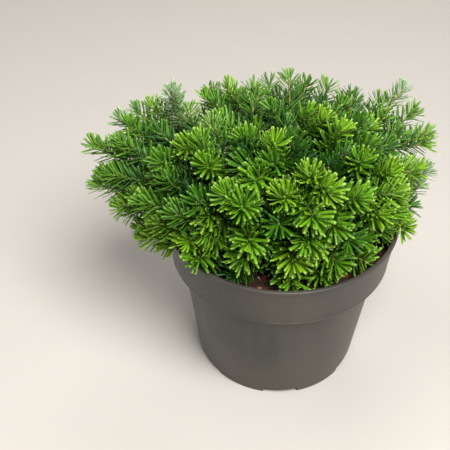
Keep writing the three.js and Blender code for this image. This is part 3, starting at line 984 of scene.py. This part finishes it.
# Rows of needles along a stretch of a shoot. Every needle has one row, laid out as in column.
def needlesAlong(line, start, stop, pitch, length, dice):
    count = max(1, int((stop - start) / pitch))
    places = np.arange(count) + 0.5 + needle["stray"] * dice.uniform(-0.5, 0.5, count)
    distances = start + places * (stop - start) / count
    share = (distances - start) / (stop - start)
    lean = np.radians(needle["leanAtFoot"] + (needle["leanAtTip"] - needle["leanAtFoot"]) * share)
    lean += np.radians(atDepthOf(line, "leans") + line["look"].get("wider", 0))
    lengths = length * (1 - needle["taper"] * share ** 3)
    return spread(line, distances, lean, lengths, dice)


def whorlOf(line, total, length, dice):
    count = round(atDepthOf(line, "whorls"))
    lean = np.radians(dice.uniform(*needle["whorlLean"], count) + atDepthOf(line, "leans"))
    return spread(line, np.full(count, total), lean, np.full(count, length), dice)


def spread(line, distances, lean, lengths, dice):
    count = len(distances)
    points, tangents, side, other = framesAlong(line["path"], distances)
    turn = np.arange(count) * pi * (3 - sqrt(5)) + line["key"]
    turn += atDepthOf(line, "combs") * np.sin(2 * turn)
    outward = side * np.cos(turn)[:, None] + other * np.sin(turn)[:, None]
    lean = lean + np.radians(needle["leanSpread"]) * dice.uniform(-1, 1, count)
    way = outward * np.sin(lean)[:, None] + tangents * np.cos(lean)[:, None]
    way[:, 2] += needle["lift"] * np.sin(lean)
    way = unitRows(way)
    upper = tangents + np.array([0, 0, needle["facesUp"]])
    upper = unitRows(upper - way * (upper * way).sum(1)[:, None])
    across = np.cross(way, upper)
    roll = np.radians(needle["roll"]) * dice.uniform(-1, 1, count)
    upper = upper * np.cos(roll)[:, None] + across * np.sin(roll)[:, None]
    lengths = lengths * (1 + needle["lengthSpread"] * dice.uniform(-1, 1, count))
    widths = needle["width"] * (1 + needle["widthSpread"] * dice.uniform(-1, 1, count))
    curls = needle["curl"] + needle["curlSpread"] * dice.uniform(-1, 1, count)
    return np.hstack([points, way, upper, lengths[:, None], widths[:, None], curls[:, None]])


# Keeps the needles that miss the pot and the soil and stay in the frame's box, some of them cut shorter.
def trimmed(rows):
    lowest, highest = np.array(cadBox) / mm
    kept = []
    for size in needle["cuts"]:
        starts = rows[:, column["start"]]
        ends = starts + rows[:, column["way"]] * rows[:, [column["length"]]] * size
        inBox = np.all((ends > lowest) & (ends < highest), axis=1)
        stretches = np.stack([starts, (starts + ends) / 2, ends], axis=1)
        fits = inBox & clearOfPot(stretches, needle["potGap"])
        fitting = rows[fits].copy()
        fitting[:, column["length"]] *= size
        kept.append(fitting)
        rows = rows[~fits]
    return np.vstack(kept)


# A four-sided blade for each row, grooved above and keeled below, in slots as needleSides lists them.
def needleMesh(rows):
    start, way, upper = (rows[:, column[name]] for name in ("start", "way", "upper"))
    length, width, curl = (rows[:, [column[name]]] for name in ("length", "width", "curl"))
    half = width / 2
    across = np.cross(way, upper)
    rings = []
    for share, wide, groove, keel in needleRings:
        middle = start + way * length * share + upper * length * curl * share ** 2
        lifted = unitRows(upper - way * 2 * curl * share)
        notched = middle - way * length * needleNotch * (share == 1)
        rings.append(middle + across * half * wide)
        rings.append(notched + lifted * groove * half * 2)
        rings.append(middle - across * half * wide)
        rings.append(notched + lifted * keel * half * 2)
    points = np.stack(rings, axis=1).reshape(-1, 3)
    faces, slots = [], []
    upperSlot, tipSlot, undersideSlot = range(len(needleSides))
    last = len(needleRings) - 1
    for ring in range(last):
        low, high = ring * 4, ring * 4 + 4
        top = tipSlot if ring == last - 1 else upperSlot
        slots.extend([top, top, undersideSlot, undersideSlot])
        for corner in range(4):
            after = (corner + 1) % 4
            faces.append((low + corner, high + corner, high + after, low + after))
    faces.append((0, 1, 2, 3))
    faces.append((last * 4 + 3, last * 4 + 2, last * 4 + 1, last * 4))
    slots.extend([undersideSlot, tipSlot])
    starts = np.arange(len(rows))[:, None, None] * len(needleRings) * 4
    allFaces = (np.array(faces)[None] + starts).reshape(-1, 4)
    return points, allFaces, np.tile(slots, len(rows))


# Shoots, by number, whose tint is listed where chance puts a bright one among dark ones or the reverse.
# Besides their own tone, these tints are partly painted light and painted shade: shoots in their neighbours'
# shade are set darker, and shoots the lamps reach less are set brighter.
listedToneAndLight = {
    "fresh": [26, 70, 86, 97, 132, 137, 1078, 1151],
    "young": [33, 36, 47, 49, 73, 75, 109, 1162],
    "summer": [21, 50, 96, 110, 131, 136, 138, 147, 148, 149, 153, 1046],
    "leafy": [2, 7, 8, 10, 30, 41, 64],
    "mature": [3, 4, 13, 58, 68, 120],
    "shaded": [12, 48, 1004, 1085, 1091, 1098],
}


# Brightest towards the light, above and in front. Some shoots at the back show their waxy side.
def tintOf(line):
    key, axis, mood = line["key"], line["axis"], vigour["mood"]
    if "tint" in line["look"]:
        return line["look"]["tint"]
    for tint, keys in listedToneAndLight.items():
        if key in keys:
            return tint
    if axis[1] > vigour["hazeFrom"] and chance(key, vigour["hazeSeed"]) < vigour["hazeShare"]:
        return "hazy"
    brightness = mood["least"] + mood["chance"] * chance(key, vigour["toneSeed"])
    brightness += (mood["up"] * max(0, axis[2]) + mood["front"] * max(0, -axis[1])
                   + mood["sideways"] * abs(axis[0]))
    if key >= fillRule["firstKey"]:
        brightness *= vigour["shade"]
    return next((tint for tint, least in vigour["steps"].items() if brightness > least), "shaded")


# The tint of the needles at a shoot's foot, which are in their sisters' shade.
def darker(tint):
    if tint in vigour["waxyFoot"]:
        return vigour["waxyFoot"][tint]
    order = [*vigour["steps"], "shaded"]
    return order[min(order.index(tint) + vigour["footSteps"], len(order) - 1)]


# Shoots that stand alone are closest set, and those inside the cushion most openly.
def pitchOf(line):
    pitch = atDepthOf(line, "pitches")
    if line["look"]:
        return pitch * needle["leaderPitch"] * line["look"].get("closer", 1)
    return pitch * (1 if line["key"] < fillRule["firstKey"] else needle["fillPitch"])


def dressShoots():
    dice = np.random.default_rng(needle["seed"])
    rows = {tint: [] for tint in needleTints}
    for line in shoots:
        total = stepLengths(line["path"]).sum()
        foot = max(needle["bareFoot"], total - line["young"])
        finer = line["look"].get("finer", 1)
        size = atDepthOf(line, "lengths") * finer
        batch = np.vstack([needlesAlong(line, foot, total, pitchOf(line), needle["length"] * size, dice),
                           whorlOf(line, total, needle["whorlLength"] * size, dice)])
        batch[:, column["width"]] *= atDepthOf(line, "widths") * finer
        head = int(len(batch) * vigour["footShare"])
        tint = tintOf(line)
        batch[:, column["width"]] *= vigour["slender"].get(tint, 1)
        rows[line["look"].get("foot", darker(tint))].append(batch[:head])
        rows[tint].append(batch[head:])
        oldStart = max(needle["bareFoot"], foot - needle["oldReach"])
        if foot - oldStart > needle["leastOld"]:
            batch = needlesAlong(line, oldStart, foot, needle["oldPitch"], needle["oldLength"], dice)
            batch[:, column["width"]] *= vigour["oldWidth"]
            # these old needles take the near-black tint, partly painted shade
            rows["old"].append(batch)
    return {tint: trimmed(np.vstack(batches)) for tint, batches in rows.items()}


def buildNeedles():
    total = 0
    for tint, rows in dressShoots().items():
        materials = [waxyNeedle(tint, side, colour) for side, colour in zip(needleSides, needleTints[tint])]
        pieces = ceil(len(rows) / needle["mostInPiece"])
        for part, share in enumerate(np.array_split(rows, pieces)):
            points, faces, slots = needleMesh(share)
            piece = makePiece(f"needles_{tint}_{part + 1}", points, faces, materials, slots)
            settle(piece, massNodes)
        total += len(rows)
    return total


print("needles grown:", buildNeedles())


# The profile is a share of the length and of the radius at each ring, from foot to tip.
bud = {
    "radius": 1.4, "length": 3.4, "sides": 6, "sunk": 0.15,
    "profile": [(0, 0.7), (0.35, 1), (0.75, 0.7), (1, 0.15)],
    "colour": "#9aa658",
}


def resinyBud():
    # A closed bud under clear resin: pale olive-brown scales with a wet gloss.
    return plainMaterial("resinyBud", 0.3, 1.5, bud["colour"])


def buildBuds():
    heap = Heap()
    radii = [bud["radius"] * size for _, size in bud["profile"]]
    for line in shoots:
        tip, axis = line["path"][-1], unit(line["path"][-1] - line["path"][-2])
        points = [tip + axis * bud["length"] * (share - bud["sunk"]) for share, _ in bud["profile"]]
        heap.add(*tube(points, radii, bud["sides"]))
    settle(makePiece("buds", heap.points, heap.faces, [resinyBud()]), massNodes)


buildBuds()
print("buds set")


# Places and the lamps' sizes are metres, and the floor's half-width is millimetres.
studio = {
    "floorHalf": 3000,
    "floorTones": ["#c4beb6", "#d8d0c4"],
    "skyColour": "#fbf8f0",
    "sky": 0.1, "seenSky": 0.8, "aim": (0, 0, 0.18),
    "lamps": [
        {"name": "key", "place": (0.47, -1.0, 1.82), "size": 1.2, "watts": 68},
        {"name": "fill", "place": (-0.9, 0, 2.0), "size": 1.4, "watts": 12},
        {"name": "back", "place": (0.2, 1.2, 1.8), "size": 1.0, "watts": 10},
    ],
}


def paintedBoard():
    # A pale painted board: flat and matt, with the faintest unevenness.
    material, tree, shader, place = patternedMaterial("paintedBoard", 0.75, 1.45)
    patch = addNode(tree, "TexNoise", {"Scale": perMetre(60), "Detail": 3}, {"Vector": place})
    showPattern(tree, shader, patch.outputs[0], studio["floorTones"], mapped(0, 1, 0, 0.12))
    return material


def buildStudio():
    half = studio["floorHalf"]
    corners = [(-half, -half, 0), (half, -half, 0), (half, half, 0), (-half, half, 0)]
    makePiece("studio_floor", corners, [(0, 1, 2, 3)], [paintedBoard()])
    world = bpy.data.worlds.new("studio")
    world.use_nodes = True
    tree = world.node_tree
    background = tree.nodes["Background"]
    background.inputs["Color"].default_value = linearColour(studio["skyColour"])
    seen = addNode(tree, "LightPath").outputs["Is Camera Ray"]
    shades = mapped(0, 1, studio["sky"], studio["seenSky"])
    strength = addNode(tree, "MapRange", shades, {"Value": seen})
    tree.links.new(strength.outputs[0], background.inputs["Strength"])
    bpy.context.scene.world = world
    for lamp in studio["lamps"]:
        data = bpy.data.lights.new(lamp["name"], "AREA")
        data.shape = "DISK"
        data.size = lamp["size"]
        data.energy = lamp["watts"]
        light = bpy.data.objects.new(lamp["name"], data)
        light.location = lamp["place"]
        light.rotation_euler = (Vector(studio["aim"]) - light.location).to_track_quat("-Z", "Y").to_euler()
        bpy.context.scene.collection.objects.link(light)
    bpy.context.scene.view_settings.view_transform = "Standard"


buildStudio()
print("studio lit")
